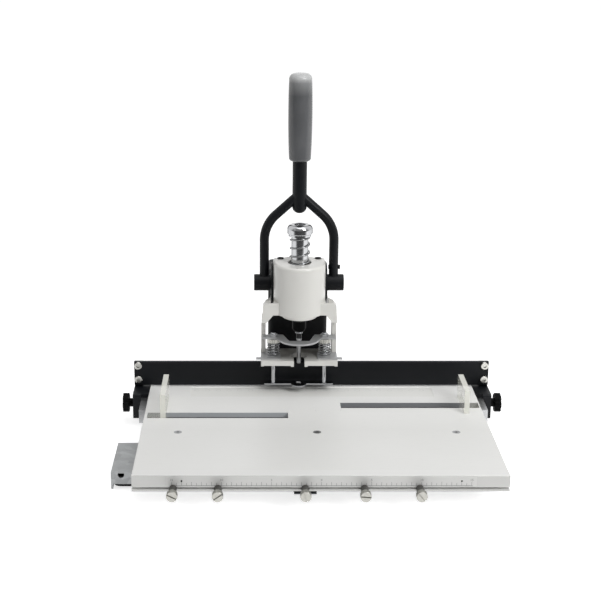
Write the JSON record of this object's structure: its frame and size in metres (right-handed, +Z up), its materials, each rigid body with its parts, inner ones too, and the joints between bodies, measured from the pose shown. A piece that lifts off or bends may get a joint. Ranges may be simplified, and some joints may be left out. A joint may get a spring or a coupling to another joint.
{
  "type": "lever paper drill",
  "caption": "Bench lever machine that drills a filing hole through a paper stack, with sliding table, back gauge, side stops, index stops and spring-return quill.",
  "frame": {"origin": "on the bench, straight under the drill axis", "axes": "+X right as the operator sees it, +Y away from the operator, +Z up"},
  "size_m": [0.4386, 0.3777, 0.4024],
  "materials": {
    "white_paint": "satin off-white paint",
    "black_casting": "satin black paint",
    "black_paint": "satin black paint",
    "black_plastic": "matte black plastic",
    "grip_grey": "matte grey plastic",
    "chrome": "polished chrome",
    "steel": "plain steel",
    "spring_steel": "bright spring wire",
    "galvanised": "galvanised sheet",
    "nickel": "nickel plate",
    "rail_aluminium": "satin anodised",
    "white_board": "white laminate on fibreboard",
    "strip_plastic": "pale plastic",
    "clear_acrylic": "clear acrylic",
    "bronze": "plain bearing bronze",
    "rubber": "black rubber"
  },
  "bodies": {
    "frame": {"base_plate": "black_paint", "sole_pad": "rubber", "front_pads": "rubber", "base_housing": "galvanised", "base_screws": "steel", "column": "black_casting", "column_bolts": "steel", "head_casting": "white_paint", "head_bolts": "steel", "top_screws": "steel", "quill_bush": "bronze", "index_catch": "black_paint", "bearing_cover_left": "black_paint", "bearing_cover_right": "black_paint", "friction_clips": "steel", "return_spring": "spring_steel", "presser_springs": "spring_steel"},
    "lever": {"lever_bow": "black_paint", "lever_rod": "black_paint", "lever_grip": "grip_grey", "lever_hubs": "black_paint", "lever_pin": "black_paint", "pinion_shaft": "steel", "drive_pinion": "steel"},
    "quill": {"quill": "chrome", "spring_button": "chrome", "drill_chuck": "black_paint", "chuck_ring": "chrome", "hollow_drill": "steel"},
    "presser": {"presser_plate": "steel", "presser_bridge": "steel", "presser_rods": "chrome", "knurled_nuts": "nickel", "rod_nuts": "steel"},
    "table": {"table_board": "white_board", "cutting_strip": "strip_plastic", "runner_front": "black_plastic", "runner_rear": "black_plastic", "table_screws": "steel", "front_rail": "rail_aluminium", "ruler": "rail_aluminium", "ruler_pins": "black_paint", "slot_rails": "steel", "guide_strips": "steel", "guide_strip_screws": "steel"},
    "back_gauge": {"gauge_bar": "black_paint", "gauge_screws": "nickel", "gauge_block_left": "black_paint", "gauge_block_right": "black_paint", "clamp_nuts": "steel"},
    "clamp_knob_left": {"clamp_knob_left": "black_plastic"},
    "clamp_knob_right": {"clamp_knob_right": "black_plastic"},
    "side_stop_left": {"side_stop_left": "clear_acrylic"},
    "side_stop_right": {"side_stop_right": "clear_acrylic"},
    "index_stop_1": {"index_stop_1": "nickel"},
    "index_stop_2": {"index_stop_2": "nickel"},
    "index_stop_3": {"index_stop_3": "nickel"},
    "index_stop_4": {"index_stop_4": "nickel"},
    "index_stop_5": {"index_stop_5": "nickel"}
  },
  "joints": [
    {"name": "lever_swing", "type": "hinge", "parent": "frame", "child": "lever", "pos_m": [0, 0.0265, 0.1613], "axis": [1, 0, 0], "range_deg": [0, 94.5], "stiffness_Nm_per_rad": 2, "springref_deg": -28.65},
    {"name": "quill_slide", "type": "slide", "parent": "frame", "child": "quill", "axis": [0, 0, -1], "range_m": [0, 0.033], "deforming": ["return_spring"]},
    {"name": "presser_slide", "type": "slide", "parent": "frame", "child": "presser", "axis": [0, 0, 1], "range_m": [-0.007, 0.012], "deforming": ["presser_springs"]},
    {"name": "table_slide", "type": "slide", "parent": "frame", "child": "table", "axis": [1, 0, 0], "range_m": [-0.144, 0.116]},
    {"name": "back_gauge_slide", "type": "slide", "parent": "table", "child": "back_gauge", "axis": [0, 1, 0], "range_m": [-0.002, 0.025]},
    {"name": "clamp_knob_left_turn", "type": "hinge", "parent": "back_gauge", "child": "clamp_knob_left", "pos_m": [-0.1977, -0.009, 0.026], "axis": [1, 0, 0], "continuous": true},
    {"name": "clamp_knob_right_turn", "type": "hinge", "parent": "back_gauge", "child": "clamp_knob_right", "pos_m": [0.2283, -0.009, 0.026], "axis": [1, 0, 0], "continuous": true},
    {"name": "side_stop_left_slide", "type": "slide", "parent": "table", "child": "side_stop_left", "axis": [1, 0, 0], "range_m": [0, 0.125]},
    {"name": "side_stop_right_slide", "type": "slide", "parent": "table", "child": "side_stop_right", "axis": [-1, 0, 0], "range_m": [0, 0.125]},
    {"name": "index_stop_1_slide", "type": "slide", "parent": "table", "child": "index_stop_1", "axis": [1, 0, 0], "range_m": [-0.028, 0.016]},
    {"name": "index_stop_2_slide", "type": "slide", "parent": "table", "child": "index_stop_2", "axis": [1, 0, 0], "range_m": [-0.016, 0.036]},
    {"name": "index_stop_3_slide", "type": "slide", "parent": "table", "child": "index_stop_3", "axis": [1, 0, 0], "range_m": [-0.036, 0.023]},
    {"name": "index_stop_4_slide", "type": "slide", "parent": "table", "child": "index_stop_4", "axis": [1, 0, 0], "range_m": [-0.023, 0.021]},
    {"name": "index_stop_5_slide", "type": "slide", "parent": "table", "child": "index_stop_5", "axis": [1, 0, 0], "range_m": [-0.021, 0.06]}
  ],
  "couplings": [
    {"joint": "quill_slide", "follows": "lever_swing", "m_per_rad": 0.02}
  ]
}
